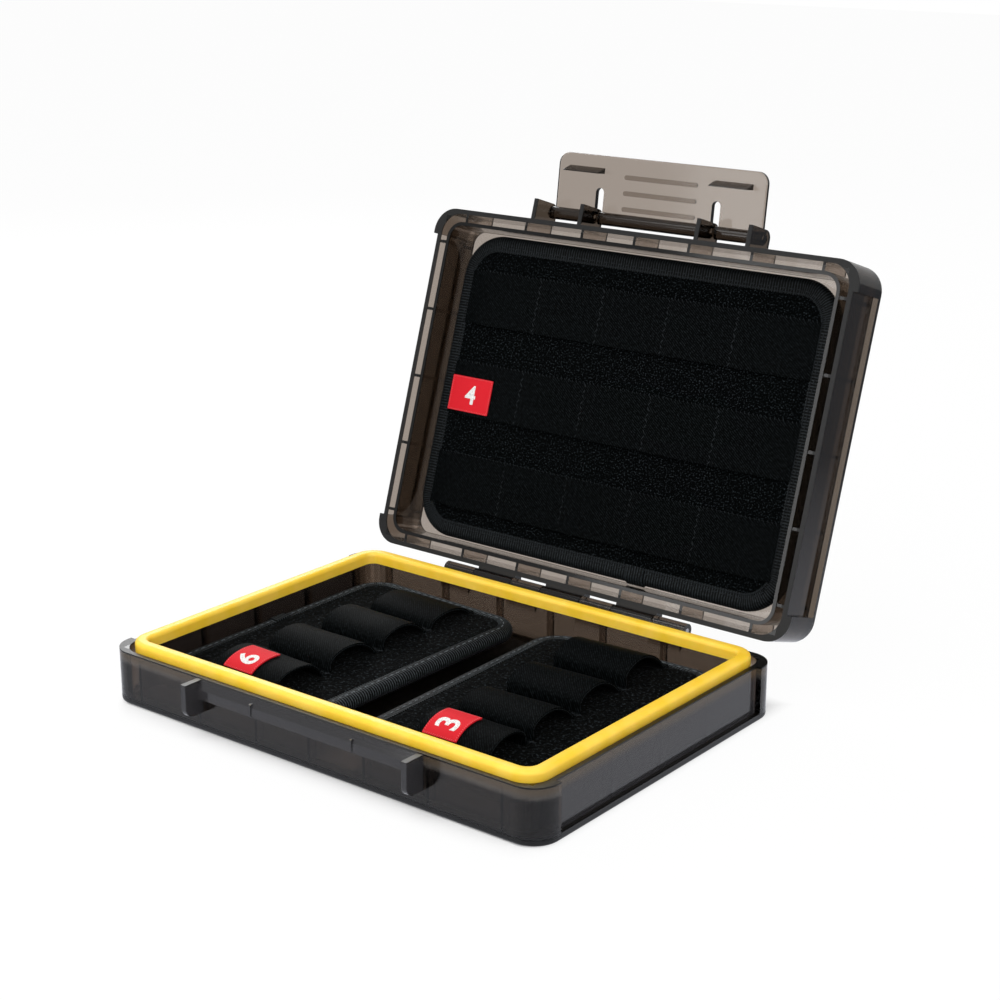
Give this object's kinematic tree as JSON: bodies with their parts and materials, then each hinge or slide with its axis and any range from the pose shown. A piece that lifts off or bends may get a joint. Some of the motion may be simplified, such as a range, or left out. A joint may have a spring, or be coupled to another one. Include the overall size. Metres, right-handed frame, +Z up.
{
  "type": "memory card case",
  "caption": "Shallow hinged storage case in smoky translucent plastic with a soft seal, a swinging front latch and sewn pads whose elastic loops and pockets hold memory cards.",
  "frame": {"origin": "centre of the flat bottom of the base", "axes": "+X to the right along the front, +Y from the latch side to the hinge side, +Z up"},
  "size_m": [0.17, 0.1855, 0.1567],
  "materials": {
    "smoky_plastic": "clear moulded plastic with a grey-brown tint",
    "seal_rubber": "smooth yellow silicone",
    "pin_steel": "drawn wire",
    "pad_board": "plain stiff sheet",
    "plush_cloth": "short black plush",
    "binding_tape": "ribbed black tape",
    "elastic": "knitted black elastic",
    "tag_cloth": "woven red label"
  },
  "bodies": {
    "base": {"base_shell": "smoky_plastic", "gasket": "seal_rubber", "hinge_pin": "pin_steel", "left_pad_board": "pad_board", "left_pad_top_cloth": "plush_cloth", "left_pad_under_cloth": "plush_cloth", "left_pad_binding": "binding_tape", "left_pad_top_loops": "elastic", "left_pad_under_loops": "elastic", "left_pad_tag": "tag_cloth", "right_pad_board": "pad_board", "right_pad_top_cloth": "plush_cloth", "right_pad_under_cloth": "plush_cloth", "right_pad_binding": "binding_tape", "right_pad_top_loops": "elastic", "right_pad_under_loops": "elastic", "right_pad_tag": "tag_cloth"},
    "lid": {"lid_shell": "smoky_plastic", "lid_pad_board": "pad_board", "lid_pad_front_cloth": "plush_cloth", "lid_pad_back_cloth": "plush_cloth", "lid_pad_binding": "binding_tape", "lid_pad_tag": "tag_cloth", "lid_pad_front_band_1": "elastic", "lid_pad_front_band_2": "elastic", "lid_pad_front_band_3": "elastic", "lid_pad_back_band_1": "elastic", "lid_pad_back_band_2": "elastic", "lid_pad_back_band_3": "elastic"},
    "latch": {"latch": "smoky_plastic"}
  },
  "joints": [
    {"name": "lid_hinge", "type": "hinge", "parent": "base", "child": "lid", "pos_m": [0, 0.0636, 0.0171], "axis": [1, 0, 0], "range_deg": [0, 108], "deforming": ["gasket"]},
    {"name": "latch_hinge", "type": "hinge", "parent": "lid", "child": "latch", "pos_m": [0, 0.11231, 0.13596], "axis": [1, 0, 0], "range_deg": [-90, 79.7]}
  ]
}
